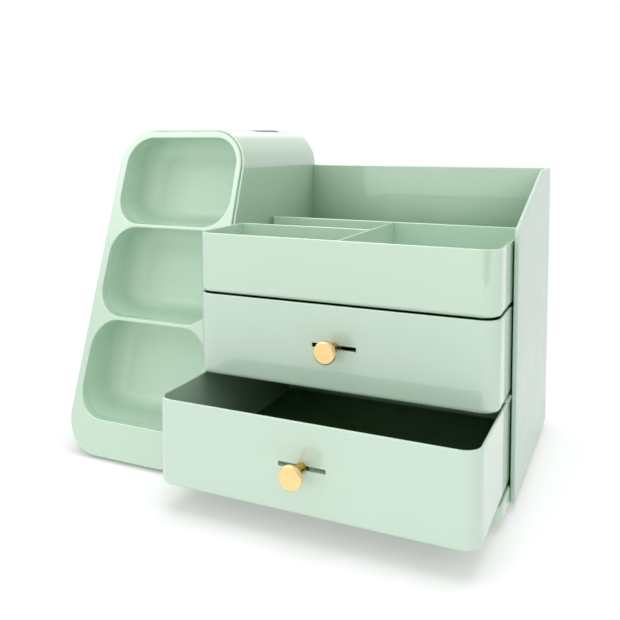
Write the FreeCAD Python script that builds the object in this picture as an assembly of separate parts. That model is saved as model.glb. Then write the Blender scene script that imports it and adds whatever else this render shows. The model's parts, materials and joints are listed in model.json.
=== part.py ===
import FreeCAD, Part
import math
import os

os.makedirs("parts", exist_ok=True)
Vector = FreeCAD.Vector

# Desktop organiser: a tower with three leaning cubbies and brush slots in its top, and beside it a
# low cabinet with two drawers, an open tray above them, and a back and right wall that stand higher.
# Millimetres. While the pieces are laid out, X = 0 is the left face of the drawers, Y = 0 the front
# plane of the closed drawers (the back is towards +Y) and Z = 0 the table top.

# ---- driving dimensions: cabinet ----
drawer_width = 217.0          # drawers and tray, left face to right face
cabinet_back = 214.0          # outer back plane of the whole organiser
side_gap_right = 1.0          # between a drawer and the right wall
side_gap_left = 0.8           # between a drawer and the tower
front_corner = 12.0           # upright corner radius of drawers, tray and base
back_corner = 6.0             # upright corner radius at the back of drawers and tray
bottom_edge = 3.5             # rounded edge under drawers and tray
rim_edge = 0.7                # rounding of the thin top rims
wall = 2.0                    # wall of drawers and tray
floor_thickness = 2.2         # floor of drawers and tray

base_underside = 7.5          # table top to the base plate
base_thickness = 9.5
base_front = 9.0              # base plate's front plane, behind the drawer fronts
base_skin = 2.5               # top skin over the ribs of the base plate
base_edge = 1.5               # rounding of the base plate's free top edge
base_rib = 2.0
rib_cells_across = 7
rib_cells_deep = 6
cradle_height = 22.0          # flange that follows the tower's rounded foot
cradle_gap = 0.5              # flange to the lower drawer

drawer_height = 59.0
lower_drawer_lift = 2.0       # base plate to the lower drawer
drawer_spacing = 2.5          # lower drawer's rim to the upper drawer
drawer_depth = 206.0
lower_drawer_open = 51.0      # how far the lower drawer stands open at rest
tray_seam = 1.0               # upper drawer's rim to the tray
tray_height = 43.0
slide_clearance = 0.3         # between a drawer and what it slides on or under
skid_width = 4.0
skid_inset = 32.0             # skid to the drawer's side
skid_front = 24.0
shelf_front = 34.0            # front edge of the shelf between the drawers
shelf_seat = 1.0              # depth of the grooves that hold the shelf

panel_thickness = 3.2         # right wall and back wall
panel_front = 46.0            # front edge of the right wall
panel_underside = 6.0         # table top to the right wall and the back wall
panel_top = 226.0
slope_start = 172.0           # where the right wall's top edge starts to fall
slope_angle = 15.6            # fall of that edge towards the front, in degrees
slope_front_corner = 8.0
slope_back_corner = 14.0
panel_edge = 0.9              # rounding along the free edges of the walls
tongue_depth = 1.6            # base and back wall are held in grooves of the right wall
tongue_thickness = 1.6

# ---- driving dimensions: tray ----
divider_thickness = 1.8
left_divider_middle = 67.0    # Y of the divider across the left half
centre_divider_middle = 110.0  # X of the divider that runs front to back
rear_divider_middle = 123.0   # Y of the divider across the whole tray
divider_slot = 0.8            # how far a divider reaches into the tray's walls
low_wall_height = 14.0        # tray's walls where the tower and the back wall stand behind them

# ---- driving dimensions: drawer pulls ----
slot_width = 32.0
slot_height = 3.0
slot_drop = 1.6               # slot and knob above the middle of the drawer front
knob_radius = 7.75
knob_reach = 17.0             # drawer front to the knob's face
knob_head = 3.4
knob_head_edge = 1.1
knob_waist_radius = 3.1
knob_foot_radius = 3.5
knob_neck_radius = 4.8
screw_radius = 1.5
screw_head_radius = 3.0
screw_head_height = 1.8
screw_hole_clearance = 0.2
washer_radius = 4.5
washer_thickness = 0.8
knob_thread_depth = 8.0

# ---- driving dimensions: tower ----
tower_width = 124.0
tower_height = 259.2
tower_corner = 32.5
tower_wall = 2.0
tower_foot_gap = 1.0          # table top to the tower's underside
face_at_table = -6.9          # Y of the leaning face where it would meet the table top
lean_angle = 18.8             # the face leans back by this angle
bezel_proud = 2.2             # bezel's face in front of the shell's mouth
bezel_thickness = 7.5
bezel_edge = 0.8
mouth_inner_edge = 0.4        # rounding that leaves a fine groove round the bezel
opening_left_side = 8.4       # shell's left side to the cubby openings
opening_right_side = 6.8      # shell's right side to the cubby openings
opening_corner = 23.0
opening_lip = 2.8             # lip between two cubby openings
opening_bottom = 28.8         # bottom of the lowest opening
opening_top = 7.6             # shell's top to the highest opening
bottom_opening_height = 73.9
middle_opening_height = 71.1
cubby_depth = 42.0            # from the bezel's face to the inside of the back
cubby_wall = 1.0
cubby_back_edge = 15.0        # inner rounding round the back of a cubby
brush_slot_width = 30.0
brush_slot_length = 54.0
brush_slot_corner = 9.0
brush_slot_spacing = 22.0     # bridge between the two slots
brush_slot_setback = 48.7     # leaning face at the tower's top to the front of the slots
brush_cup_wall = 1.5
brush_cup_floor = 128.0       # Z of the cup's floor
back_cover_thickness = 2.5
cover_post_radius = 4.5
cover_post_length = 20.0
cover_post_heights = (66.0, 196.0)

# ---- driving dimensions: small hardware ----
foot_radius = 7.0
foot_inset = 18.0
case_screw_radius = 1.25
case_screw_length = 9.0
case_screw_head_radius = 2.6
case_screw_head_height = 1.5
tray_screw_height = 6.6       # tray's underside to the screws in its walls
boss_radius = 4.0
boss_length = 4.5

# ---- places worked out from the driving dimensions ----
tower_right = -side_gap_left
tower_left = tower_right - tower_width
tower_middle = (tower_left + tower_right) / 2
lean_slope = math.tan(math.radians(lean_angle))
brush_slot_front = face_at_table + lean_slope * tower_height + brush_slot_setback
brush_slot_back = brush_slot_front + brush_slot_length
brush_cup_reach = brush_slot_spacing / 2 + brush_slot_width
panel_inner = drawer_width + side_gap_right
panel_outer = panel_inner + panel_thickness
back_inner = cabinet_back - panel_thickness
base_top = base_underside + base_thickness
lower_drawer_bottom = base_top + lower_drawer_lift
lower_drawer_top = lower_drawer_bottom + drawer_height
upper_drawer_bottom = lower_drawer_top + drawer_spacing
upper_drawer_top = upper_drawer_bottom + drawer_height
tray_bottom = upper_drawer_top + tray_seam
tray_top = tray_bottom + tray_height
shelf_bottom = lower_drawer_top + slide_clearance
shelf_top = upper_drawer_bottom - slide_clearance
groove_margin = (panel_thickness - tongue_thickness) / 2
screw_hole_radius = screw_radius + screw_hole_clearance
rear_compartment_front = rear_divider_middle + divider_thickness / 2
tray_floor_top = tray_bottom + floor_thickness
middle_opening_bottom = opening_bottom + bottom_opening_height + opening_lip
top_opening_bottom = middle_opening_bottom + middle_opening_height + opening_lip
top_opening_height = tower_height - opening_top - top_opening_bottom
tray_screw_level = tray_bottom + tray_screw_height
table = 0.0

# The origin is on the table, below the middle of the organiser's box as it stands at rest.
origin = Vector((tower_left + panel_outer) / 2,
                (cabinet_back - lower_drawer_open - knob_reach) / 2,
                table)

far = 1000.0
step_past = 2.0               # how far a cutting body runs past what it cuts
same_place = 0.001


def block(x_low, x_high, y_low, y_high, z_low, z_high):
    corner = Vector(x_low, y_low, z_low)
    return Part.makeBox(x_high - x_low, y_high - y_low, z_high - z_low, corner)


def rod(radius, length, start, direction):
    return Part.makeCylinder(radius, length, start, direction)


def edges_where(shape, is_wanted):
    return [edge for edge in shape.Edges if all(is_wanted(vertex.Point) for vertex in edge.Vertexes)]


def upright_edges(shape, x_value, y_value):
    def at_corner(point):
        return abs(point.x - x_value) < same_place and abs(point.y - y_value) < same_place
    return edges_where(shape, at_corner)


def level_edges(shape, z_value):
    return edges_where(shape, lambda point: abs(point.z - z_value) < same_place)


def rounded_block(x_low, x_high, y_low, y_high, z_low, z_high, front_radius, back_radius, under_radius):
    shape = block(x_low, x_high, y_low, y_high, z_low, z_high)
    for x_value in (x_low, x_high):
        shape = shape.makeFillet(front_radius, upright_edges(shape, x_value, y_low))
        shape = shape.makeFillet(back_radius, upright_edges(shape, x_value, y_high))
    if under_radius > 0:
        shape = shape.makeFillet(under_radius, level_edges(shape, z_low))
    return shape


def open_box(x_low, x_high, y_low, y_high, z_low, z_high):
    # A moulded tub with upright walls, a floor and soft rims, as the drawers and the tray are.
    outside = rounded_block(x_low, x_high, y_low, y_high, z_low, z_high,
                            front_corner, back_corner, bottom_edge)
    inside = rounded_block(x_low + wall, x_high - wall, y_low + wall, y_high - wall,
                           z_low + floor_thickness, z_high + step_past,
                           front_corner - wall, back_corner - wall, bottom_edge - wall / 2)
    tub = outside.cut(inside)
    return tub.makeFillet(rim_edge, level_edges(tub, z_high))


def face_y(z_value, offset=0.0):
    # Y of the plane parallel to the tower's leaning face, offset towards the back.
    return face_at_table + lean_slope * z_value + offset


def leaning_slab(front_offset, back_offset):
    # All the space between two planes parallel to the tower's leaning face.
    low = -tower_height
    high = 2 * tower_height
    corners = [Vector(-far, face_y(low, front_offset), low),
               Vector(-far, face_y(low, back_offset), low),
               Vector(-far, face_y(high, back_offset), high),
               Vector(-far, face_y(high, front_offset), high)]
    outline = Part.makePolygon(corners + corners[:1])
    return Part.Face(outline).extrude(Vector(2 * far, 0, 0))


def edges_on_lean(shape, offset):
    return edges_where(shape, lambda point: abs(point.y - face_y(point.z, offset)) < same_place)


def rounded_bar(x_low, x_high, z_low, z_high, radius, y_low=-far, y_high=far):
    # A bar along Y with a rounded rectangle for its section.
    shape = block(x_low, x_high, y_low, y_high, z_low, z_high)
    along_y = []
    for edge in shape.Edges:
        direction = edge.Vertexes[1].Point - edge.Vertexes[0].Point
        if abs(direction.x) < same_place and abs(direction.z) < same_place:
            along_y.append(edge)
    return shape.makeFillet(radius, along_y)


def tower_bar(inset, y_low=-far, y_high=far):
    # The tower's outline, shrunk by inset, as a bar along Y.
    return rounded_bar(tower_left + inset, tower_right - inset,
                       tower_foot_gap + inset, tower_height - inset,
                       tower_corner - inset, y_low, y_high)


def case_screw(point, direction):
    # A small flat-headed screw whose head's outer face is at the point.
    head = Part.makeCone(case_screw_head_radius, case_screw_radius, case_screw_head_height,
                         point, direction)
    shank = rod(case_screw_radius, case_screw_length, point, direction)
    return head.fuse(shank)


def cut_all(shape, cutters):
    for cutter in cutters:
        shape = shape.cut(cutter)
    return shape


def fuse_all(shape, additions):
    for addition in additions:
        shape = shape.fuse(addition)
    return shape.removeSplitter()


def save(name, shape, offset=Vector(0, 0, 0)):
    placed = shape.copy()
    placed.translate(offset - origin)
    placed.exportStep("parts/" + name + ".step")
    print(name, "solids", len(placed.Solids), "valid", placed.isValid(), "volume", round(placed.Volume))


# ---- screws that hold the case together; their bodies are also cut out of what they go through ----
back_screw_places = [Vector(drawer_width * share, cabinet_back, base_underside + base_thickness / 2)
                     for share in (0.15, 0.5, 0.85)]
back_screw_places += [Vector(drawer_width * share, cabinet_back, tray_screw_level)
                      for share in (0.25, 0.75)]
back_screws = [case_screw(place, Vector(0, -1, 0)) for place in back_screw_places]

joining_start = tower_right - tower_wall
joining_screw_places = [Vector(joining_start, y_value, tray_screw_level)
                        for y_value in (rear_compartment_front - 30, rear_compartment_front + 30,
                                        back_inner - 20)]
joining_screws = [case_screw(place, Vector(1, 0, 0)) for place in joining_screw_places]

cover_post_x = (tower_left + tower_wall + cover_post_radius - 1,
                tower_right - tower_wall - cover_post_radius + 1)
cover_screw_places = [Vector(x_value, cabinet_back, z_value)
                      for x_value in cover_post_x for z_value in cover_post_heights]
cover_screws = [case_screw(place, Vector(0, -1, 0)) for place in cover_screw_places]


# ---- cabinet ----
def make_base_plate():
    front_corner_x = panel_inner
    plate = block(tower_middle, panel_inner, base_front, back_inner, base_underside, base_top)
    plate = plate.makeFillet(front_corner, upright_edges(plate, front_corner_x, base_front))

    def is_free(edge):
        middle = edge.valueAt((edge.FirstParameter + edge.LastParameter) / 2)
        return middle.y < back_inner - same_place and middle.x > tower_middle + same_place

    plate = plate.makeFillet(base_edge, [edge for edge in level_edges(plate, base_top) if is_free(edge)])
    left_flange = block(tower_middle, -cradle_gap, base_front, back_inner,
                        base_underside, base_underside + cradle_height)
    plate = plate.fuse(left_flange)
    rib_left = base_rib
    rib_right = panel_inner - front_corner / 2
    cell_width = (rib_right - rib_left) / rib_cells_across
    rib_front = base_front + base_rib * 2
    cell_depth = (back_inner - base_rib * 2 - rib_front) / rib_cells_deep
    for column in range(rib_cells_across):
        for row in range(rib_cells_deep):
            x_low = rib_left + column * cell_width
            y_low = rib_front + row * cell_depth
            cell = block(x_low + base_rib / 2, x_low + cell_width - base_rib / 2,
                         y_low + base_rib / 2, y_low + cell_depth - base_rib / 2,
                         base_underside - step_past, base_top - base_skin)
            plate = plate.cut(cell)
    pads = [rod(foot_radius + 1, base_thickness, Vector(x_value, y_value, base_underside), Vector(0, 0, 1))
            for x_value, y_value in cabinet_foot_places]
    screw_blocks = [rod(boss_radius - 0.5, boss_length + case_screw_length / 2,
                        Vector(place.x, back_inner, place.z), Vector(0, -1, 0))
                    for place in back_screw_places[:3]]
    plate = fuse_all(plate, pads + screw_blocks)
    tongue = block(panel_inner - step_past, panel_inner + tongue_depth,
                   panel_front + panel_thickness, back_inner,
                   base_underside + 1 + tongue_thickness, base_top - tongue_thickness)
    plate = fuse_all(plate, [tongue])
    plate = plate.cut(tower_bar(0))
    keep = block(tower_middle, far, -far, far, base_underside, far)
    right_of_arc = block(tower_right - tower_corner, far, -far, far, -far, far)
    plate = plate.common(keep).common(right_of_arc)
    return cut_all(plate, back_screws), tongue


cabinet_foot_places = [(x_value, y_value)
                       for x_value in (foot_inset, drawer_width - foot_inset)
                       for y_value in (base_front + foot_inset, back_inner - foot_inset)]
base_plate, base_tongue = make_base_plate()
save("base_plate", base_plate)


def make_shelf():
    # The thin sheet between the drawers is seated in grooves of the tower and the walls.
    shelf = block(tower_right - shelf_seat, panel_inner + shelf_seat, shelf_front,
                  back_inner + shelf_seat, shelf_bottom, shelf_top)
    # In front of the right wall the shelf ends flush with the wall's inner face.
    notch = block(panel_inner, far, -far, panel_front + panel_thickness, -far, far)
    return shelf.cut(notch)


drawer_shelf = make_shelf()
save("drawer_shelf", drawer_shelf)

back_tongue = block(panel_inner - step_past, panel_inner + tongue_depth,
                    back_inner + groove_margin, cabinet_back - groove_margin,
                    panel_underside + panel_thickness, panel_top - panel_thickness * 2)


def make_right_panel():
    slope_run = slope_start - panel_front
    slope_end = panel_top - slope_run * math.tan(math.radians(slope_angle))
    corners = [Vector(panel_inner, panel_front, panel_underside),
               Vector(panel_inner, cabinet_back, panel_underside),
               Vector(panel_inner, cabinet_back, panel_top),
               Vector(panel_inner, slope_start, panel_top),
               Vector(panel_inner, panel_front, slope_end)]
    outline = Part.makePolygon(corners + corners[:1])
    panel = Part.Face(outline).extrude(Vector(panel_thickness, 0, 0))

    def corner_edges(y_value, z_value):
        def at_corner(point):
            return abs(point.y - y_value) < same_place and abs(point.z - z_value) < same_place
        return edges_where(panel, at_corner)

    panel = panel.makeFillet(slope_front_corner, corner_edges(panel_front, slope_end))
    panel = panel.makeFillet(slope_back_corner, corner_edges(slope_start, panel_top))

    def on_free_edge(point):
        return point.z > panel_underside + same_place and point.y < cabinet_back - same_place

    def is_free(edge):
        middle = edge.valueAt((edge.FirstParameter + edge.LastParameter) / 2)
        on_side = abs(middle.x - panel_inner) < same_place or abs(middle.x - panel_outer) < same_place
        return on_side and on_free_edge(middle)

    panel = panel.makeFillet(panel_edge, [edge for edge in panel.Edges if is_free(edge)])
    return cut_all(panel, [base_tongue, back_tongue, drawer_shelf])


save("right_side_panel", make_right_panel())


def make_back_panel():
    panel = block(tower_right, panel_inner, back_inner, cabinet_back, panel_underside, panel_top)
    long_top = [edge for edge in level_edges(panel, panel_top) if edge.Length > panel_thickness * 2]
    panel = panel.makeFillet(panel_edge, long_top)
    panel = fuse_all(panel, [back_tongue])
    return cut_all(panel, [drawer_shelf] + back_screws)


save("back_panel", make_back_panel())


# ---- tray and its dividers ----
def make_dividers():
    low = tray_floor_top
    high = tray_top
    half = divider_thickness / 2
    inner_left = wall - divider_slot
    inner_right = drawer_width - wall + divider_slot
    rear = block(inner_left, inner_right, rear_divider_middle - half, rear_divider_middle + half,
                 low, high)
    centre = block(centre_divider_middle - half, centre_divider_middle + half,
                   wall - divider_slot, rear_divider_middle - half, low, high)
    left = block(tower_right, centre_divider_middle - half,
                 left_divider_middle - half, left_divider_middle + half, low, high)
    dividers = {"rear_divider": rear, "centre_divider": centre, "left_divider": left}
    for name, shape in dividers.items():
        long_top = [edge for edge in level_edges(shape, high) if edge.Length > divider_thickness * 2]
        dividers[name] = shape.makeFillet(rim_edge, long_top)
    return dividers


def make_tray(dividers):
    tray = open_box(0, drawer_width, 0, back_inner, tray_bottom, tray_top)
    beside_tower = block(-step_past, wall + step_past, left_divider_middle - divider_thickness / 2,
                         back_inner, tray_bottom + low_wall_height, far)
    before_back = block(-step_past, drawer_width + step_past, back_inner - back_corner,
                        back_inner + step_past, tray_bottom + low_wall_height, far)
    tray = cut_all(tray, [beside_tower, before_back])
    pads = []
    for place in joining_screw_places:
        start = Vector(tower_right, place.y, place.z)
        pads.append(rod(boss_radius, side_gap_left + wall + boss_length, start, Vector(1, 0, 0)))
    for y_value in (panel_front + foot_inset, back_inner - foot_inset):
        start = Vector(panel_inner, y_value, tray_screw_level)
        pads.append(rod(boss_radius, side_gap_right + wall / 2, start, Vector(-1, 0, 0)))
    for place in back_screw_places[3:]:
        start = Vector(place.x, back_inner, place.z)
        pads.append(rod(boss_radius, wall + boss_length, start, Vector(0, -1, 0)))
    tray = fuse_all(tray, pads)
    return cut_all(tray, list(dividers.values()) + joining_screws + back_screws)


tray_dividers = make_dividers()
save("top_tray", make_tray(tray_dividers))
for divider_name, divider_shape in tray_dividers.items():
    save(divider_name, divider_shape)


# ---- drawers, knobs and their fixings, drawn closed at a given height ----
def make_drawer(bottom, carrier_top):
    drawer = open_box(0, drawer_width, 0, drawer_depth, bottom, bottom + drawer_height)
    middle = drawer_width / 2
    slot_level = bottom + drawer_height / 2 + slot_drop
    slot = block(middle - slot_width / 2, middle + slot_width / 2, -step_past, wall + step_past,
                 slot_level - slot_height / 2, slot_level + slot_height / 2)
    hole = rod(screw_hole_radius, wall + 2 * step_past, Vector(middle, -step_past, slot_level),
               Vector(0, 1, 0))
    drawer = cut_all(drawer, [slot, hole])
    skid_height = bottom - carrier_top - slide_clearance
    if skid_height > same_place:
        skids = []
        for x_value in (skid_inset, drawer_width - skid_inset - skid_width):
            skids.append(block(x_value, x_value + skid_width, skid_front, drawer_depth - back_corner,
                               carrier_top + slide_clearance, bottom + floor_thickness / 2))
        drawer = fuse_all(drawer, skids)
    return drawer


def make_knob(level):
    # A turned knob: flat disc on a waisted neck, with its axis along Y.
    middle = drawer_width / 2
    front = -knob_reach
    neck_front = front + knob_head
    waist = neck_front / 2.4
    profile_points = [Vector(middle, front, level),
                      Vector(middle + knob_radius, front, level),
                      Vector(middle + knob_radius, neck_front, level),
                      Vector(middle + knob_neck_radius, neck_front, level)]
    neck_curve = Part.Arc(profile_points[-1],
                          Vector(middle + knob_waist_radius, waist, level),
                          Vector(middle + knob_foot_radius, 0, level)).toShape()
    last_line = Part.makePolygon([Vector(middle + knob_foot_radius, 0, level),
                                  Vector(middle, 0, level),
                                  profile_points[0]])
    outline = Part.Wire(Part.makePolygon(profile_points).Edges + [neck_curve] + last_line.Edges)
    knob = Part.Face(outline).revolve(Vector(middle, 0, level), Vector(0, 1, 0), 360)

    def on_head_rim(edge):
        middle_point = edge.valueAt(edge.FirstParameter)
        from_axis = math.hypot(middle_point.x - middle, middle_point.z - level)
        is_circle = len(edge.Vertexes) == 1
        return is_circle and abs(from_axis - knob_radius) < same_place

    knob = knob.makeFillet(knob_head_edge, [edge for edge in knob.Edges if on_head_rim(edge)])
    thread = rod(screw_radius, knob_thread_depth + step_past, Vector(middle, step_past, level),
                 Vector(0, -1, 0))
    return knob.cut(thread)


def make_knob_screw(level):
    middle = drawer_width / 2
    head_start = Vector(middle, wall + washer_thickness, level)
    head = rod(screw_head_radius, screw_head_height, head_start, Vector(0, 1, 0))
    far_rim = [edge for edge in head.Edges
               if len(edge.Vertexes) == 1 and edge.Vertexes[0].Point.y > head_start.y + same_place]
    head = head.makeFillet(screw_head_height / 3, far_rim)
    shank = rod(screw_radius, knob_thread_depth + wall + washer_thickness + same_place,
                head_start + Vector(0, same_place, 0), Vector(0, -1, 0))
    drive_depth = screw_head_height / 2
    drive_start = wall + washer_thickness + screw_head_height - drive_depth
    drive_reach = screw_head_radius * 0.6
    drive_half = screw_head_radius * 0.12
    screw = head.fuse(shank).removeSplitter()
    wide = block(middle - drive_reach, middle + drive_reach, drive_start, drive_start + step_past,
                 level - drive_half, level + drive_half)
    tall = block(middle - drive_half, middle + drive_half, drive_start, drive_start + step_past,
                 level - drive_reach, level + drive_reach)
    return cut_all(screw, [wide, tall])


def make_washer(level):
    start = Vector(drawer_width / 2, wall, level)
    disc = rod(washer_radius, washer_thickness, start, Vector(0, 1, 0))
    hole = rod(screw_radius, washer_thickness, start, Vector(0, 1, 0))
    return disc.cut(hole)


drawer_rows = {"lower": (lower_drawer_bottom, base_top, Vector(0, -lower_drawer_open, 0)),
               "upper": (upper_drawer_bottom, shelf_top, Vector(0, 0, 0))}
for row_name, (row_bottom, row_carrier, row_offset) in drawer_rows.items():
    knob_level = row_bottom + drawer_height / 2 + slot_drop
    save(row_name + "_drawer", make_drawer(row_bottom, row_carrier), row_offset)
    save(row_name + "_knob", make_knob(knob_level), row_offset)
    save(row_name + "_knob_screw", make_knob_screw(knob_level), row_offset)
    save(row_name + "_knob_washer", make_washer(knob_level), row_offset)


# ---- tower ----
def brush_slot(x_low):
    return rounded_block(x_low, x_low + brush_slot_width, brush_slot_front, brush_slot_back,
                         tower_height - tower_corner, tower_height + step_past,
                         brush_slot_corner, brush_slot_corner, 0)


def is_on_inner_wall(edge):
    # Inner wall edges lie closer to the tower's middle than the wall's outer half.
    middle = edge.valueAt((edge.FirstParameter + edge.LastParameter) / 2)
    wall_middle = tower_bar(tower_wall / 2)
    return wall_middle.isInside(middle, same_place, True)


def make_tower_shell():
    behind_mouth = leaning_slab(bezel_proud, far)
    outside = tower_bar(0, -far, cabinet_back).common(behind_mouth)
    outside = outside.makeFillet(bezel_edge, edges_on_lean(outside, bezel_proud))
    shell = outside.cut(tower_bar(tower_wall))
    inner_mouth = [edge for edge in edges_on_lean(shell, bezel_proud) if is_on_inner_wall(edge)]
    shell = shell.makeFillet(mouth_inner_edge, inner_mouth)
    post_back = cabinet_back - back_cover_thickness
    posts = [rod(cover_post_radius, cover_post_length, Vector(place.x, post_back, place.z),
                 Vector(0, -1, 0)) for place in cover_screw_places]
    shell = fuse_all(shell, posts)
    shell = shell.common(tower_bar(0, -far, cabinet_back))
    slots = [brush_slot(tower_middle - brush_cup_reach),
             brush_slot(tower_middle + brush_slot_spacing / 2)]
    return cut_all(shell, slots + [drawer_shelf] + cover_screws + joining_screws)


save("tower_shell", make_tower_shell())


# Lowest Z and height of each cubby's opening.
openings = {"bottom_cubby": (opening_bottom, bottom_opening_height),
            "middle_cubby": (middle_opening_bottom, middle_opening_height),
            "top_cubby": (top_opening_bottom, top_opening_height)}


def opening_bar(opening, grow=0.0):
    low, height = opening
    corner = min(opening_corner, height * 0.45)
    return rounded_bar(tower_left + opening_left_side - grow, tower_right - opening_right_side + grow,
                       low - grow, low + height + grow, corner + grow)


def make_bezel():
    bezel = tower_bar(tower_wall).common(leaning_slab(0, bezel_thickness))
    bezel = cut_all(bezel, [opening_bar(opening) for opening in openings.values()])
    return bezel.makeFillet(bezel_edge, edges_on_lean(bezel, 0))


save("tower_bezel", make_bezel())


def make_cubby(opening):
    outer_back = cubby_depth + cubby_wall
    outside = opening_bar(opening, cubby_wall).common(leaning_slab(bezel_thickness, outer_back))
    outside = outside.makeFillet(cubby_back_edge + cubby_wall, edges_on_lean(outside, outer_back))
    inside = opening_bar(opening).common(leaning_slab(bezel_thickness - step_past, cubby_depth))
    inside = inside.makeFillet(cubby_back_edge, edges_on_lean(inside, cubby_depth))
    return outside.cut(inside)


for cubby_name, cubby_opening in openings.items():
    save(cubby_name, make_cubby(cubby_opening))


def make_brush_cup():
    corner = brush_slot_corner
    reach = brush_cup_reach
    outside = rounded_block(tower_middle - reach - brush_cup_wall,
                            tower_middle + reach + brush_cup_wall,
                            brush_slot_front - brush_cup_wall, brush_slot_back + brush_cup_wall,
                            brush_cup_floor - brush_cup_wall, tower_height,
                            corner + brush_cup_wall, corner + brush_cup_wall, bottom_edge)
    inside = rounded_block(tower_middle - reach, tower_middle + reach,
                           brush_slot_front, brush_slot_back,
                           brush_cup_floor, tower_height + step_past,
                           corner, corner, bottom_edge - brush_cup_wall)
    return outside.cut(inside).common(tower_bar(tower_wall))


save("brush_cup", make_brush_cup())


def make_back_cover():
    cover = tower_bar(tower_wall, cabinet_back - back_cover_thickness, cabinet_back)
    return cut_all(cover, cover_screws)


save("tower_back_cover", make_back_cover())


# ---- feet and case screws: each group is one node of separate solids ----
def make_feet(places, height):
    feet = []
    for x_value, y_value in places:
        foot = rod(foot_radius, height, Vector(x_value, y_value, table), Vector(0, 0, 1))
        foot = foot.makeFillet(height / 4, level_edges(foot, table))
        feet.append(foot)
    return Part.makeCompound(feet)


tower_foot_front = face_y(0, bezel_proud) + foot_inset
tower_foot_places = [(tower_middle + side * (tower_width / 2 - tower_corner - foot_radius), y_value)
                     for side in (-1, 1) for y_value in (tower_foot_front, cabinet_back - foot_inset)]
save("cabinet_feet", make_feet(cabinet_foot_places, base_underside))
save("tower_feet", make_feet(tower_foot_places, tower_foot_gap))
save("back_screws", Part.makeCompound(back_screws))
save("joining_screws", Part.makeCompound(joining_screws))
save("cover_screws", Part.makeCompound(cover_screws))
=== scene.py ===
import bpy
import bmesh
import json
import math
from mathutils import Matrix, Vector

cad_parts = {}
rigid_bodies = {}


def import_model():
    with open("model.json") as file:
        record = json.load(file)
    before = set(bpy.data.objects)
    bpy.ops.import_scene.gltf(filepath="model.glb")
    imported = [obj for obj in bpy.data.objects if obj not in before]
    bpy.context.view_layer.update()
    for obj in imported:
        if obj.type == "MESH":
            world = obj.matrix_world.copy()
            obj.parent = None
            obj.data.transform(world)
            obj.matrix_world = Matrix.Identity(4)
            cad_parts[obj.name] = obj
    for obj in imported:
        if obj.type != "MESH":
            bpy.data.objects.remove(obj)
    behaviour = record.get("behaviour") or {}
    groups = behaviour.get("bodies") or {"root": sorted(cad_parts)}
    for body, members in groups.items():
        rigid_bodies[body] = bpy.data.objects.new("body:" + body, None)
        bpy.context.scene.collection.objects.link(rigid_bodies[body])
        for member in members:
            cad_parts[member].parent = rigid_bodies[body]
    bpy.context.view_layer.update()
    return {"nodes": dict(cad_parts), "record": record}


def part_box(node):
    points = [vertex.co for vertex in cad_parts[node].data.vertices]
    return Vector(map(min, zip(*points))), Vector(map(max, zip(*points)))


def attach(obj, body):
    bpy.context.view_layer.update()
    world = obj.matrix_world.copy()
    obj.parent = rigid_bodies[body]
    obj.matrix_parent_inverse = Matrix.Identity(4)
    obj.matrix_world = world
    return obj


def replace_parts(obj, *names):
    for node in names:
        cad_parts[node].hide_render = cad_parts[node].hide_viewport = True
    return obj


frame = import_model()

scene = bpy.context.scene
for startObject in [item for item in bpy.data.objects if item.name in ("Cube", "Light", "Camera")]:
    bpy.data.objects.remove(startObject)
print("frame loaded:", len(frame["nodes"]), "nodes")


# A node tree is filled through this small helper: add a node, set its inputs, wire what is linked.
def addNode(tree, kind, inputs=None, **settings):
    node = tree.nodes.new(kind)
    for key, value in settings.items():
        setattr(node, key, value)
    for key, value in (inputs or {}).items():
        if isinstance(value, bpy.types.NodeSocket):
            tree.links.new(value, node.inputs[key])
        else:
            node.inputs[key].default_value = value
    return node


def newMaterial(name):
    material = bpy.data.materials.new(name)
    material.use_nodes = True
    tree = material.node_tree
    tree.nodes.clear()
    output = tree.nodes.new("ShaderNodeOutputMaterial")
    return material, tree, output


def linearColour(red, green, blue):  # from the 0-255 values of a colour picker
    def channel(value):
        share = value / 255
        return share / 12.92 if share <= 0.04045 else ((share + 0.055) / 1.055) ** 2.4
    return (channel(red), channel(green), channel(blue), 1.0)


# Moulded mint plastic, with painted shade: an ambient occlusion node darkens its colour in closed hollows.
mintPlastic = {
    "colour": linearColour(187, 213, 192),
    "shadeColour": linearColour(182, 209, 187),   # where the pigment is a little denser
    "paintedShadeTint": (0.14, 0.2, 0.09, 1.0),         # painted shade: what is left of the colour at the bottom of deep hollows
    "paintedShadeReach": 0.07,                          # how far a hollow's other side counts for the painted shade, in metres
    "paintedShadeStart": 0.34,                          # openness where the painted shade begins
    "paintedShadeFull": 0.06,                           # and where it is darkest
    "paintedShadeSamples": 16,                          # fewer leave speckles
    "cloudScale": 9.0,                            # pigment clouds per metre of surface
    "smearScale": 34.0,                           # patches of slightly different gloss
    "smearLow": 0.3,                              # the gloss changes between these strengths of a smear
    "smearHigh": 0.75,
    "gloss": 0.3,
    "glossSpread": 0.1,
    "clearCoat": 1.0,
    "clearCoatGloss": 0.03,
    "clearCoatIndex": 1.9,
    "glow": 0.05,                                 # light that the thin walls let through
    "glowDepth": 0.004,
    "glowSpread": (0.9, 1.0, 0.8),                # red, green and blue
    "wave": 0.0001,                               # depth of the long waves that sink marks leave, in metres
    "waveScale": 16.0,
    "peel": 0.000004,                             # fine unevenness of the mould's polish
    "peelScale": 900.0,
}


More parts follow.
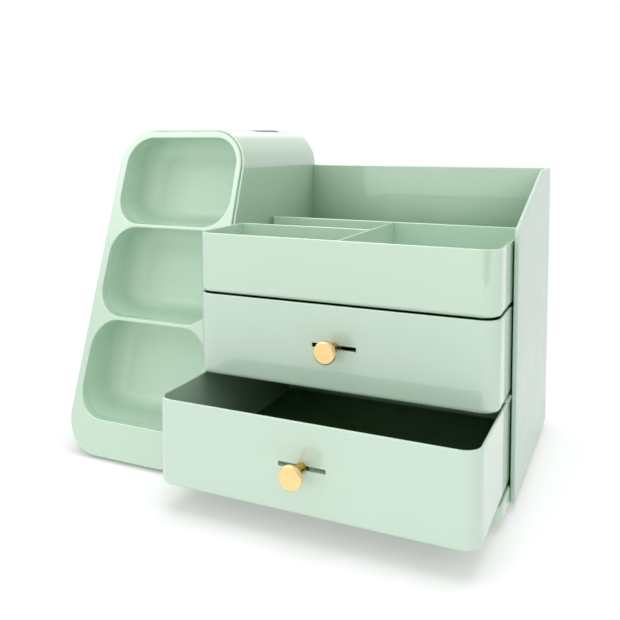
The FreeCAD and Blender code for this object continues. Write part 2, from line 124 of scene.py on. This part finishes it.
def makeMintPlastic(name, style):
    material, tree, output = newMaterial(name)
    place = addNode(tree, "ShaderNodeTexCoord").outputs["Object"]
    clouds = addNode(tree, "ShaderNodeTexNoise", {"Vector": place, "Scale": style["cloudScale"], "Detail": 3.0})
    pigment = addNode(tree, "ShaderNodeMix", {"Factor": clouds.outputs["Fac"], "A": style["colour"],
                                              "B": style["shadeColour"]}, data_type="RGBA")
    smears = addNode(tree, "ShaderNodeTexNoise", {"Vector": place, "Scale": style["smearScale"], "Detail": 5.0,
                                                  "Roughness": 0.6})
    gloss = addNode(tree, "ShaderNodeMapRange", {"Value": smears.outputs["Fac"], "From Min": style["smearLow"],
                                                 "From Max": style["smearHigh"], "To Min": style["gloss"],
                                                 "To Max": style["gloss"] + style["glossSpread"]})
    longWaves = addNode(tree, "ShaderNodeTexNoise", {"Vector": place, "Scale": style["waveScale"], "Detail": 1.0})
    waveBump = addNode(tree, "ShaderNodeBump", {"Height": longWaves.outputs["Fac"], "Strength": 1.0,
                                                "Distance": style["wave"]})
    peel = addNode(tree, "ShaderNodeTexNoise", {"Vector": place, "Scale": style["peelScale"], "Detail": 2.0})
    peelBump = addNode(tree, "ShaderNodeBump", {"Height": peel.outputs["Fac"], "Strength": 1.0,
                                                "Distance": style["peel"], "Normal": waveBump.outputs["Normal"]})
    openness = addNode(tree, "ShaderNodeAmbientOcclusion", {"Distance": style["paintedShadeReach"]},
                       samples=style["paintedShadeSamples"])
    closed = addNode(tree, "ShaderNodeMapRange", {"Value": openness.outputs["AO"], "From Min": style["paintedShadeFull"],
                                                  "From Max": style["paintedShadeStart"], "To Min": 1.0, "To Max": 0.0})
    # Painted shade on the gloss too: the coat fades out where the hollow closes: 0 there and its full weight in the
    # open.
    coat = addNode(tree, "ShaderNodeMath", {0: closed.outputs["Result"], 1: -style["clearCoat"],
                                            2: style["clearCoat"]}, operation="MULTIPLY_ADD")
    # Painted shade: the colour is multiplied towards the dark tint as the hollow closes.
    paintedShadeColour = addNode(tree, "ShaderNodeMix", {"Factor": closed.outputs["Result"], "A": pigment.outputs["Result"],
                                                "B": style["paintedShadeTint"]}, data_type="RGBA", blend_type="MULTIPLY")
    shader = addNode(tree, "ShaderNodeBsdfPrincipled",
                     {"Base Color": paintedShadeColour.outputs["Result"], "Roughness": gloss.outputs["Result"],
                      "Normal": peelBump.outputs["Normal"], "IOR": 1.5, "Coat Weight": coat.outputs[0],
                      "Coat Roughness": style["clearCoatGloss"], "Coat IOR": style["clearCoatIndex"],
                      "Subsurface Weight": style["glow"], "Subsurface Scale": style["glowDepth"],
                      "Subsurface Radius": style["glowSpread"]})
    tree.links.new(shader.outputs["BSDF"], output.inputs["Surface"])
    return material


# Satin brass, with turning rings round each knob's own middle, and painted shade towards the neck.
satinBrass = {
    "colour": linearColour(254, 222, 162),
    "deepColour": linearColour(250, 213, 148),
    "neckShadeColour": linearColour(214, 168, 88),      # painted shade: darker towards the neck
    "glossLow": 0.23,
    "glossHigh": 0.37,
    "ringScale": 1000.0,                          # turning rings, fine enough to blend at a distance
    "ringDepth": 0.0000005,
    "ringWobble": 0.6,
    "grainScale": 240.0,
    "neckStart": 0.0012,                          # the painted neck shade sets in between these depths behind the face
    "neckEnd": 0.005,
}


def makeSatinBrass(name, style, middle):
    material, tree, output = newMaterial(name)
    place = addNode(tree, "ShaderNodeTexCoord").outputs["Object"]
    centred = addNode(tree, "ShaderNodeMapping", {"Vector": place, "Location": tuple(-value for value in middle)})
    grain = addNode(tree, "ShaderNodeTexNoise", {"Vector": place, "Scale": style["grainScale"], "Detail": 4.0})
    rings = addNode(tree, "ShaderNodeTexWave", {"Vector": centred.outputs["Vector"], "Scale": style["ringScale"],
                                                "Distortion": style["ringWobble"], "Detail": 1.0}, wave_type="RINGS",
                    rings_direction="Y")
    tone = addNode(tree, "ShaderNodeMix", {"Factor": grain.outputs["Fac"], "A": style["colour"],
                                           "B": style["deepColour"]}, data_type="RGBA")
    apart = addNode(tree, "ShaderNodeSeparateXYZ", {"Vector": centred.outputs["Vector"]})
    # Painted shade: the colour darkens towards the neck, behind the face.
    towardsNeck = addNode(tree, "ShaderNodeMapRange", {"Value": apart.outputs["Y"], "From Min": style["neckStart"],
                                                       "From Max": style["neckEnd"]},
                          interpolation_type="SMOOTHSTEP")
    paintedNeckShade = addNode(tree, "ShaderNodeMix", {"Factor": towardsNeck.outputs["Result"], "A": tone.outputs["Result"],
                                           "B": style["neckShadeColour"]}, data_type="RGBA")
    gloss = addNode(tree, "ShaderNodeMapRange", {"Value": rings.outputs["Fac"], "To Min": style["glossLow"],
                                                 "To Max": style["glossHigh"]})
    bump = addNode(tree, "ShaderNodeBump", {"Height": rings.outputs["Fac"], "Distance": style["ringDepth"]})
    shader = addNode(tree, "ShaderNodeBsdfPrincipled",
                     {"Base Color": paintedNeckShade.outputs["Result"], "Roughness": gloss.outputs["Result"],
                      "Normal": bump.outputs["Normal"], "Metallic": 1.0})
    tree.links.new(shader.outputs["BSDF"], output.inputs["Surface"])
    return material


# Zinc-plated steel and grey rubber.
zincSteel = {
    "light": linearColour(196, 198, 202),
    "dark": linearColour(168, 170, 176),
    "spangleScale": 1400.0,
    "gloss": 0.32,
}
footRubber = {
    "dark": linearColour(96, 98, 98),
    "light": linearColour(120, 122, 121),
    "crumbScale": 1600.0,
    "crumbDepth": 0.00008,
    "gloss": 0.75,
}


def makeZincSteel(name, style):
    material, tree, output = newMaterial(name)
    place = addNode(tree, "ShaderNodeTexCoord").outputs["Object"]
    spangle = addNode(tree, "ShaderNodeTexVoronoi", {"Vector": place, "Scale": style["spangleScale"]})
    tone = addNode(tree, "ShaderNodeMix", {"Factor": spangle.outputs["Distance"], "A": style["light"],
                                           "B": style["dark"]}, data_type="RGBA")
    shader = addNode(tree, "ShaderNodeBsdfPrincipled",
                     {"Base Color": tone.outputs["Result"], "Roughness": style["gloss"], "Metallic": 1.0})
    tree.links.new(shader.outputs["BSDF"], output.inputs["Surface"])
    return material


def makeFootRubber(name, style):
    material, tree, output = newMaterial(name)
    place = addNode(tree, "ShaderNodeTexCoord").outputs["Object"]
    crumbs = addNode(tree, "ShaderNodeTexNoise", {"Vector": place, "Scale": style["crumbScale"], "Detail": 3.0})
    tone = addNode(tree, "ShaderNodeMix", {"Factor": crumbs.outputs["Fac"], "A": style["dark"],
                                           "B": style["light"]}, data_type="RGBA")
    bump = addNode(tree, "ShaderNodeBump", {"Height": crumbs.outputs["Fac"], "Distance": style["crumbDepth"]})
    shader = addNode(tree, "ShaderNodeBsdfPrincipled",
                     {"Base Color": tone.outputs["Result"], "Roughness": style["gloss"],
                      "Normal": bump.outputs["Normal"]})
    tree.links.new(shader.outputs["BSDF"], output.inputs["Surface"])
    return material


# The same plastic, with colour, painted shade in hollows and coat to suit each piece.
# Each variant has its own reach, start and tint of painted shade; the drawers' is the darkest and reaches furthest.
trayPlastic = {**mintPlastic, "colour": linearColour(190, 214, 194), "paintedShadeReach": 0.03, "paintedShadeStart": 0.12,
               "paintedShadeTint": (0.5, 0.66, 0.5, 1.0)}
drawerPlastic = {**mintPlastic, "colour": linearColour(191, 213, 197), "shadeColour": linearColour(186, 209, 191),
                 "paintedShadeReach": 0.16, "paintedShadeStart": 0.24, "paintedShadeFull": 0.08, "paintedShadeTint": (0.09, 0.22, 0.06, 1.0),
                 "clearCoatIndex": 1.7}
cubbyPlastic = {**mintPlastic, "colour": linearColour(190, 214, 193), "paintedShadeReach": 0.06, "paintedShadeStart": 0.2,
                "clearCoat": 0.35, "clearCoatGloss": 0.4, "gloss": 0.42}
backPlastic = {**mintPlastic, "colour": linearColour(184, 210, 186), "paintedShadeReach": 0.14, "paintedShadeStart": 0.6}
openPlastic = {**mintPlastic, "paintedShadeReach": 0.03, "paintedShadeStart": 0.2, "clearCoatIndex": 1.6,
               "clearCoatGloss": 0.12}
panelPlastic = {**openPlastic, "colour": linearColour(182, 206, 190), "shadeColour": linearColour(178, 203, 186),
                "paintedShadeTint": (0.4, 0.6, 0.42, 1.0), "clearCoat": 0.4}
slotMaterials = {
    "shell_plastic": makeMintPlastic("shell plastic", mintPlastic),
    "tray_plastic": makeMintPlastic("tray plastic", trayPlastic),
    "drawer_plastic": makeMintPlastic("drawer plastic", drawerPlastic),
    "cubby_plastic": makeMintPlastic("cubby plastic", cubbyPlastic),
    "knob_brass": makeSatinBrass("satin brass", satinBrass, (0.0, 0.0, 0.0)),
    "screw_steel": makeZincSteel("zinc steel", zincSteel),
    "foot_rubber": makeFootRubber("grey rubber", footRubber),
}
nodeSlots = {part["node"]: part["material_slot"] for part in frame["record"]["subparts"]}
behindTray = makeMintPlastic("plastic behind the tray", backPlastic)
thinWall = makeMintPlastic("thin wall plastic", openPlastic)
outsidePanel = makeMintPlastic("side panel plastic", panelPlastic)
nodeMaterials = {"back_panel": behindTray, "tower_shell": behindTray, "right_side_panel": outsidePanel,
                 "base_plate": thinWall}
for nodeName, nodeObject in frame["nodes"].items():
    for materialSlot in nodeObject.material_slots:
        materialSlot.material = nodeMaterials.get(nodeName, slotMaterials[nodeSlots[nodeName]])
print("materials made")


mergeDistance = 0.000002  # corners closer than this are made one, in metres


def spinProfile(shape, profile, middle, axis, steps):  # profile: (radius, distance along the axis) in metres
    along = Vector(axis)
    side = Vector((1.0, 0.0, 0.0))
    corners = [shape.verts.new(Vector(middle) + side * radius + along * depth) for radius, depth in profile]
    edges = [shape.edges.new(pair) for pair in zip(corners, corners[1:])]
    bmesh.ops.spin(shape, geom=corners + edges, cent=middle, axis=along, angle=math.tau, steps=steps,
                   use_merge=True, use_duplicate=False)


def finishPiece(name, shape, body, material, crease):  # crease: degrees from which an edge is sharp
    bmesh.ops.remove_doubles(shape, verts=shape.verts, dist=mergeDistance)
    bmesh.ops.recalc_face_normals(shape, faces=shape.faces)
    mesh = bpy.data.meshes.new(name)
    shape.to_mesh(mesh)
    shape.free()
    mesh.polygons.foreach_set("use_smooth", [True] * len(mesh.polygons))
    mesh.set_sharp_from_angle(angle=math.radians(crease))
    mesh.materials.append(material)
    piece = bpy.data.objects.new(name, mesh)
    scene.collection.objects.link(piece)
    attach(piece, body)
    return piece


def solidBoxes(nodeName):  # lowest and highest corner of each separate solid of a node
    shape = bmesh.new()
    shape.from_mesh(frame["nodes"][nodeName].data)
    bmesh.ops.remove_doubles(shape, verts=shape.verts, dist=mergeDistance)
    left, boxes = set(shape.verts), []
    while left:
        island, edge = set(), [left.pop()]
        while edge:
            corner = edge.pop()
            island.add(corner)
            for link in corner.link_edges:
                other = link.other_vert(corner)
                if other in left:
                    left.remove(other)
                    edge.append(other)
        boxes.append((Vector(min(corner.co[k] for corner in island) for k in range(3)),
                      Vector(max(corner.co[k] for corner in island) for k in range(3))))
    shape.free()
    return sorted(boxes, key=lambda box: tuple(round(value, 4) for value in box[0]))


# Knobs turned from a profile of radius and depth behind the face, in metres.
turnedKnob = {
    "steps": 96,
    "crease": 40.0,
    "profile": [(0.0, 0.00022), (2.2e-3, 0.00018), (4.2e-3, 0.0001), (5.6e-3, 0.00003), (6.3e-3, 0.0),
                (6.8e-3, 0.00006), (7.2e-3, 0.00022), (7.5e-3, 0.0005), (7.68e-3, 0.00085), (7.75e-3, 0.0013),
                (7.75e-3, 0.0024), (7.68e-3, 0.0028), (7.5e-3, 0.00314), (7.2e-3, 0.00334), (6.8e-3, 0.0034),
                (5.5e-3, 0.0034), (5.0e-3, 0.0036), (4.6e-3, 0.0041), (4.25e-3, 0.005), (3.85e-3, 0.0066),
                (3.5e-3, 0.0084), (3.25e-3, 0.0102), (3.12e-3, 0.0118), (3.1e-3, 0.0132), (3.16e-3, 0.0145),
                (3.3e-3, 0.0156), (3.5e-3, 0.0163), (3.5e-3, 0.017), (1.5e-3, 0.017), (1.5e-3, 0.009), (0.0, 0.009)],
}


def makeTurnedKnob(nodeName, body, style):
    low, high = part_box(nodeName)
    faceMiddle = Vector(((low.x + high.x) / 2, low.y, (low.z + high.z) / 2))
    shape = bmesh.new()
    spinProfile(shape, style["profile"], faceMiddle, (0.0, 1.0, 0.0), style["steps"])
    brass = makeSatinBrass(nodeName.replace("_", " ") + " brass", satinBrass, faceMiddle)
    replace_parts(finishPiece(nodeName + "_turned", shape, body, brass, style["crease"]),
                nodeName)


makeTurnedKnob("lower_knob", "lower_drawer_set", turnedKnob)
makeTurnedKnob("upper_knob", "upper_drawer_set", turnedKnob)


# Countersunk screws with a cross recess and a thread.
crossScrew = {
    "crease": 30.0,
    "headRadius": 0.0026,
    "headHeight": 0.0015,
    "rimHeight": 0.00012,      # flat edge of the head before it narrows
    "shankRadius": 0.00125,
    "tipRadius": 0.0005,
    "recessReach": 0.62,       # length of the cross's arm, as a share of the head's radius
    "recessHalf": 0.13,        # half the arm's width, as the same share
    "recessTaper": 0.8,        # the recess's floor against its mouth
    "recessDepth": 0.0007,
    "rimCuts": 3,              # how often each edge of the rim is cut, to round it
    "leastTurns": 2,
    "threadPitch": 0.0011,
    "threadDepth": 0.00022,
    "crestShare": 0.45,        # shares of the pitch where the crest ends and the root lies
    "rootShare": 0.75,
}


def addCrossScrew(shape, headMiddle, direction, length, style):
    turn = Vector((0.0, 0.0, -1.0)).rotation_difference(Vector(direction)).to_matrix().to_4x4()
    put = Matrix.Translation(headMiddle) @ turn
    headRadius, shankRadius = style["headRadius"], style["shankRadius"]
    # The head's face is a grid whose outer ring is drawn out to the rim's circle.
    cutLines = [-1.0, -style["recessReach"], -style["recessHalf"], style["recessHalf"], style["recessReach"], 1.0]
    cells = len(cutLines) - 1
    part = bmesh.new()
    made = bmesh.ops.create_grid(part, x_segments=cells, y_segments=cells, size=1.0)
    for corner in made["verts"]:
        across = cutLines[round((corner.co.x + 1) / 2 * cells)]
        upward = cutLines[round((corner.co.y + 1) / 2 * cells)]
        spot = Vector((across, upward, 0.0))
        if 1.0 in (abs(across), abs(upward)):
            spot = spot.normalized()
        corner.co = spot * headRadius
    # The cross is the middle row and column of cells, without their outermost ones.
    cross = []
    for cell in part.faces:
        middle = cell.calc_center_median()
        inMiddleRow = min(abs(middle.x), abs(middle.y)) < style["recessHalf"] * headRadius / 2
        if inMiddleRow and middle.length < style["recessReach"] * headRadius:
            cross.append(cell)
    sunk = bmesh.ops.extrude_face_region(part, geom=cross)
    bmesh.ops.delete(part, geom=cross, context="FACES")
    lowered = [item for item in sunk["geom"] if isinstance(item, bmesh.types.BMVert)]
    bmesh.ops.translate(part, verts=lowered, vec=(0.0, 0.0, -style["recessDepth"]))
    bmesh.ops.scale(part, verts=lowered, vec=(style["recessTaper"], style["recessTaper"], 1.0))
    rim = [link for link in part.edges if link.is_boundary]
    bmesh.ops.subdivide_edges(part, edges=rim, cuts=style["rimCuts"])
    for link in [item for item in part.edges if item.is_boundary]:
        for corner in link.verts:
            flat = Vector((corner.co.x, corner.co.y, 0.0))
            corner.co = flat.normalized() * headRadius
    levels = [(headRadius, style["rimHeight"]), (shankRadius, style["headHeight"])]
    pitch = style["threadPitch"]
    for count in range(max(style["leastTurns"], int((length - style["headHeight"]) / pitch))):
        start = style["headHeight"] + count * pitch
        levels += [(shankRadius, start + pitch * style["crestShare"]),
                   (shankRadius - style["threadDepth"], start + pitch * style["rootShare"])]
    levels += [(style["tipRadius"], length)]
    ring = [item for item in part.edges if item.is_boundary]
    for radius, depth in levels:
        grown = bmesh.ops.extrude_edge_only(part, edges=ring)["geom"]
        ring = [item for item in grown if isinstance(item, bmesh.types.BMEdge) and item.is_boundary]
        for corner in {corner for item in ring for corner in item.verts}:
            flat = Vector((corner.co.x, corner.co.y, 0.0)).normalized() * radius
            corner.co = Vector((flat.x, flat.y, -depth))
    bmesh.ops.holes_fill(part, edges=ring, sides=0)
    bmesh.ops.transform(part, matrix=put, verts=part.verts)
    bmesh.ops.recalc_face_normals(part, faces=part.faces)
    holder = bpy.data.meshes.new("one screw")
    part.to_mesh(holder)
    part.free()
    shape.from_mesh(holder)
    bpy.data.meshes.remove(holder)


def makeCrossScrews(nodeName, axis, style):
    shape = bmesh.new()
    along = max(range(3), key=lambda k: abs(axis[k]))
    for low, high in solidBoxes(nodeName):
        headMiddle = (low + high) / 2
        headMiddle[along] = low[along] if axis[along] > 0 else high[along]
        addCrossScrew(shape, headMiddle, axis, high[along] - low[along], style)
    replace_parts(finishPiece(nodeName + "_crosshead", shape, "organiser",
                            slotMaterials["screw_steel"], style["crease"]), nodeName)


makeCrossScrews("back_screws", (0.0, -1.0, 0.0), crossScrew)
makeCrossScrews("cover_screws", (0.0, -1.0, 0.0), crossScrew)
makeCrossScrews("joining_screws", (1.0, 0.0, 0.0), crossScrew)


# Rubber feet with round grooves in the sole.
ribbedFoot = {
    "steps": 64,
    "crease": 45.0,
    "grooves": 3,
    "grooveDepth": 0.08,       # share of the foot's height
    "firstGroove": 0.3,        # this and the next three are shares of the radius
    "grooveSpacing": 0.18,
    "grooveWidth": 0.11,
    "grooveSide": 0.03,        # width of its slanting side
    "largestEdge": 0.0016,     # rounding of the sole's rim, in metres
    "edgeCorners": [(1.0, 0.0), (0.45, 0.16), (0.12, 0.5), (0.0, 1.0)],  # its corners inwards and up, as shares
}


def makeRibbedFeet(nodeName, style):
    shape = bmesh.new()
    for low, high in solidBoxes(nodeName):
        radius, height = (high.x - low.x) / 2, high.z - low.z
        groove = height * style["grooveDepth"]
        side, width = radius * style["grooveSide"], radius * style["grooveWidth"]
        sole = [(0.0, 0.0)]
        for count in range(style["grooves"]):
            start = radius * (style["firstGroove"] + style["grooveSpacing"] * count)
            sole += [(start, 0.0), (start + side, groove), (start + width - side, groove), (start + width, 0.0)]
        edge = min(height / 4, style["largestEdge"])
        sole += [(radius - edge * inwards, edge * upwards) for inwards, upwards in style["edgeCorners"]]
        sole += [(radius, height), (0.0, height)]
        spinProfile(shape, sole, Vector(((low.x + high.x) / 2, (low.y + high.y) / 2, low.z)), (0.0, 0.0, 1.0),
                    style["steps"])
    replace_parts(finishPiece(nodeName + "_ribbed", shape, "organiser",
                            slotMaterials["foot_rubber"], style["crease"]), nodeName)


makeRibbedFeet("cabinet_feet", ribbedFoot)
makeRibbedFeet("tower_feet", ribbedFoot)


# Marks that the mould's ejector pins leave on the floors.
pinMarks = {
    "steps": 40,
    "crease": 50.0,
    "radius": 0.0035,
    "proud": 0.00012,                    # height of the raised rim
    "flatHeight": 0.4,                   # height of the flat middle, as a share of the rim's
    "flatReach": 0.86,                   # this and the next two are shares of the radius
    "rimStart": 0.9,
    "rimEnd": 0.98,
    "sunk": 0.0002,                      # into the floor, so that no gap shows
    "lowerDrawerFloor": 0.0039,          # height of the floor's top above the piece's lowest point
    "upperDrawerFloor": 0.0022,
    "trayFloor": 0.0022,
    "drawerColumns": (0.1, 0.5, 0.9),    # shares of the piece's width and depth
    "drawerRows": (0.12, 0.5, 0.88),
    "trayColumns": (0.14, 0.4, 0.62, 0.9),
    "trayRows": (0.1, 0.45, 0.75),
}


def makePinMarks(nodeName, body, floorLevel, slotName, columns, rows, style):
    low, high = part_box(nodeName)
    shape = bmesh.new()
    radius, proud, sunk = style["radius"], style["proud"], style["sunk"]
    profile = [(0.0, proud * style["flatHeight"]), (radius * style["flatReach"], proud * style["flatHeight"]),
               (radius * style["rimStart"], proud), (radius * style["rimEnd"], proud), (radius, -sunk), (0.0, -sunk)]
    for across in columns:
        for deep in rows:
            spot = Vector((low.x + (high.x - low.x) * across, low.y + (high.y - low.y) * deep, floorLevel))
            spinProfile(shape, profile, spot, (0.0, 0.0, 1.0), style["steps"])
    finishPiece(nodeName + "_pin_marks", shape, body, slotMaterials[slotName], style["crease"])


makePinMarks("lower_drawer", "lower_drawer_set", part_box("lower_drawer")[0].z + pinMarks["lowerDrawerFloor"],
             "drawer_plastic", pinMarks["drawerColumns"], pinMarks["drawerRows"], pinMarks)
makePinMarks("upper_drawer", "upper_drawer_set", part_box("upper_drawer")[0].z + pinMarks["upperDrawerFloor"],
             "drawer_plastic", pinMarks["drawerColumns"], pinMarks["drawerRows"], pinMarks)
makePinMarks("top_tray", "organiser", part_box("top_tray")[0].z + pinMarks["trayFloor"],
             "tray_plastic", pinMarks["trayColumns"], pinMarks["trayRows"], pinMarks)
print("knobs, screws, feet and mould marks made")


# Floor and world.
plainWhite = (1.0, 1.0, 1.0, 1.0)
studio = {
    "floorSize": 6.0,            # half its side, in metres
    "floorWhite": 0.75,
    "nearLift": 0.36,            # light that the floor itself gives near the object, so that it reaches white
    "nearRadius": 0.26,          # the floor turns to plain white between these distances from its middle
    "farRadius": 0.62,
    "worldStrength": 0.25,
    "skyGlow": 1.6,              # added to the plain white sky high at the left, for gloss to see
    "skyLow": 0.26,              # it grows between these heights, of which 1 is straight up
    "skyHigh": 0.52,
    "skyLeft": -0.4,             # and from the middle to here, of which -1 is straight left
}


def seenDirectly(tree):  # 1 for camera, gloss and transmission rays
    paths = addNode(tree, "ShaderNodeLightPath")
    seen = addNode(tree, "ShaderNodeMath", {0: paths.outputs["Is Camera Ray"], 1: paths.outputs["Is Glossy Ray"]},
                   operation="MAXIMUM")
    seenToo = addNode(tree, "ShaderNodeMath", {0: seen.outputs[0], 1: paths.outputs["Is Transmission Ray"]},
                      operation="MAXIMUM")
    return seenToo.outputs[0]


def makeFloor(style):
    mesh = bpy.data.meshes.new("studio floor")
    shape = bmesh.new()
    bmesh.ops.create_grid(shape, x_segments=1, y_segments=1, size=style["floorSize"])
    shape.to_mesh(mesh)
    shape.free()
    floor = bpy.data.objects.new("studio floor", mesh)
    scene.collection.objects.link(floor)
    material, tree, output = newMaterial("studio floor")
    place = addNode(tree, "ShaderNodeTexCoord").outputs["Object"]
    radius = addNode(tree, "ShaderNodeVectorMath", {0: place}, operation="LENGTH")
    spread = addNode(tree, "ShaderNodeMapRange", {"Value": radius.outputs["Value"], "From Min": style["nearRadius"],
                                                  "From Max": style["farRadius"]}, interpolation_type="SMOOTHSTEP")
    fade = addNode(tree, "ShaderNodeMath", {0: seenDirectly(tree), 1: spread.outputs["Result"]},
                   operation="MULTIPLY")
    white = (style["floorWhite"],) * 3 + (1.0,)
    paper = addNode(tree, "ShaderNodeBsdfDiffuse", {"Color": white})
    glow = addNode(tree, "ShaderNodeEmission", {"Color": plainWhite, "Strength": style["nearLift"]})
    near = addNode(tree, "ShaderNodeAddShader", {0: paper.outputs[0], 1: glow.outputs[0]})
    far = addNode(tree, "ShaderNodeEmission", {"Color": plainWhite, "Strength": 1.0})
    both = addNode(tree, "ShaderNodeMixShader", {0: fade.outputs[0], 1: near.outputs[0], 2: far.outputs[0]})
    tree.links.new(both.outputs[0], output.inputs["Surface"])
    mesh.materials.append(material)


def makeWorld(style):
    world = bpy.data.worlds.new("studio world")
    scene.world = world
    world.use_nodes = True
    tree = world.node_tree
    tree.nodes.clear()
    output = tree.nodes.new("ShaderNodeOutputWorld")
    towards = addNode(tree, "ShaderNodeTexCoord").outputs["Generated"]
    direction = addNode(tree, "ShaderNodeSeparateXYZ", {"Vector": towards})
    high = addNode(tree, "ShaderNodeMapRange", {"Value": direction.outputs["Z"], "From Min": style["skyLow"],
                                                "From Max": style["skyHigh"], "To Max": style["skyGlow"]},
                   interpolation_type="SMOOTHSTEP")
    left = addNode(tree, "ShaderNodeMapRange", {"Value": direction.outputs["X"], "From Min": 0.0,
                                                "From Max": style["skyLeft"]}, interpolation_type="SMOOTHSTEP")
    sky = addNode(tree, "ShaderNodeMath", {0: high.outputs["Result"], 1: left.outputs["Result"], 2: 1.0},
                  operation="MULTIPLY_ADD")
    strength = addNode(tree, "ShaderNodeMix", {"Factor": seenDirectly(tree), "A": style["worldStrength"],
                                               "B": sky.outputs[0]}, data_type="FLOAT")
    light = addNode(tree, "ShaderNodeBackground", {"Color": plainWhite, "Strength": strength.outputs["Result"]})
    tree.links.new(light.outputs[0], output.inputs["Surface"])


# Softboxes. Azimuth 0 is straight in front and + is to the right; degrees, metres and watts.
softboxes = {
    "overhead box": {"azimuth": 0.0, "elevation": 88.0, "distance": 1.6, "size": (1.6, 1.6), "power": 15.5},
    "left box": {"azimuth": -36.0, "elevation": 36.0, "distance": 1.8, "size": (1.3, 1.3), "power": 4.0},
    "front box": {"azimuth": 18.0, "elevation": 30.0, "distance": 1.8, "size": (1.1, 1.1), "power": 4.6},
    "right box": {"azimuth": 58.0, "elevation": 32.0, "distance": 1.8, "size": (1.1, 1.1), "power": 4.0},
    "low front fill": {"azimuth": -8.0, "elevation": 8.0, "distance": 1.8, "size": (1.6, 0.46), "power": 7.6},
    "side fill": {"azimuth": 100.0, "elevation": 28.0, "distance": 1.8, "size": (1.0, 1.0), "power": 2.0},
    "back fill": {"azimuth": 165.0, "elevation": 38.0, "distance": 1.8, "size": (1.2, 1.2), "power": 5.5},
}
softboxTarget = Vector((0.0, 0.0, 0.1))


def addSoftbox(name, style):
    lamp = bpy.data.lights.new(name, "AREA")
    lamp.shape = "RECTANGLE"
    lamp.size, lamp.size_y = style["size"]
    lamp.energy = style["power"]
    holder = bpy.data.objects.new(name, lamp)
    scene.collection.objects.link(holder)
    across, up = math.radians(style["azimuth"]), math.radians(style["elevation"])
    toLamp = Vector((math.sin(across) * math.cos(up), -math.cos(across) * math.cos(up), math.sin(up)))
    holder.location = softboxTarget + toLamp * style["distance"]
    holder.rotation_euler = (-toLamp).to_track_quat("-Z", "Y").to_euler()
    holder.visible_glossy = False  # gloss sees the smooth sky instead


# A dark card at the front right, which only gloss sees, draws the dark band down the rounded corners.
darkCard = {
    "place": (0.546, -0.796, 0.25),  # its middle
    "turn": 28.0,          # degrees
    "halfWidth": 0.62,
    "halfHeight": 0.25,
    "middle": 0.02,        # brightness in the card's middle; its sides fade to white
    "darkHalf": 0.05,      # half width of the evenly dark strip
}


def makeDarkCard(style):
    turn = Matrix.Translation(style["place"]) @ Matrix.Rotation(math.radians(style["turn"]), 4, "Z")
    shape = bmesh.new()
    corners = [shape.verts.new(turn @ Vector((across * style["halfWidth"], 0.0, up * style["halfHeight"])))
               for across, up in ((-1, -1), (1, -1), (1, 1), (-1, 1))]
    shape.faces.new(corners)
    mesh = bpy.data.meshes.new("dark card")
    shape.to_mesh(mesh)
    shape.free()
    card = bpy.data.objects.new("dark card", mesh)
    scene.collection.objects.link(card)
    material, tree, output = newMaterial("dark card")
    place = addNode(tree, "ShaderNodeTexCoord").outputs["Object"]
    centred = addNode(tree, "ShaderNodeVectorMath", {0: place, 1: style["place"]}, operation="SUBTRACT")
    alongCard = (math.cos(math.radians(style["turn"])), math.sin(math.radians(style["turn"])), 0.0)
    across = addNode(tree, "ShaderNodeVectorMath", {0: centred.outputs["Vector"], 1: alongCard},
                     operation="DOT_PRODUCT")
    reach = addNode(tree, "ShaderNodeMath", {0: across.outputs["Value"]}, operation="ABSOLUTE")
    light = addNode(tree, "ShaderNodeMapRange", {"Value": reach.outputs[0], "From Min": style["darkHalf"],
                                                 "From Max": style["halfWidth"], "To Min": style["middle"]},
                    interpolation_type="SMOOTHSTEP")
    glow = addNode(tree, "ShaderNodeEmission", {"Color": plainWhite, "Strength": light.outputs["Result"]})
    tree.links.new(glow.outputs[0], output.inputs["Surface"])
    mesh.materials.append(material)
    card.visible_camera = card.visible_diffuse = card.visible_shadow = card.visible_transmission = False


makeFloor(studio)
makeWorld(studio)
makeDarkCard(darkCard)
for boxName, boxStyle in softboxes.items():
    addSoftbox(boxName, boxStyle)
print("studio set")


view = {
    "place": (0.24624, -0.52166, 0.25035),
    "turn": 24.38,        # degrees to the left of straight ahead
    "tilt": 3.61,         # degrees below the horizon
    "lens": 42.79,        # this and the sensor's width in millimetres
    "sensor": 36.0,
    "shift": -0.2,
}


def makeCamera(style):
    lens = bpy.data.cameras.new("camera")
    lens.lens = style["lens"]
    lens.sensor_width = style["sensor"]
    lens.shift_y = style["shift"]
    camera = bpy.data.objects.new("camera", lens)
    scene.collection.objects.link(camera)
    camera.location = style["place"]
    camera.rotation_euler = (math.radians(90 - style["tilt"]), 0.0, math.radians(style["turn"]))
    scene.camera = camera


makeCamera(view)
scene.view_settings.view_transform = "Standard"
print("camera set")
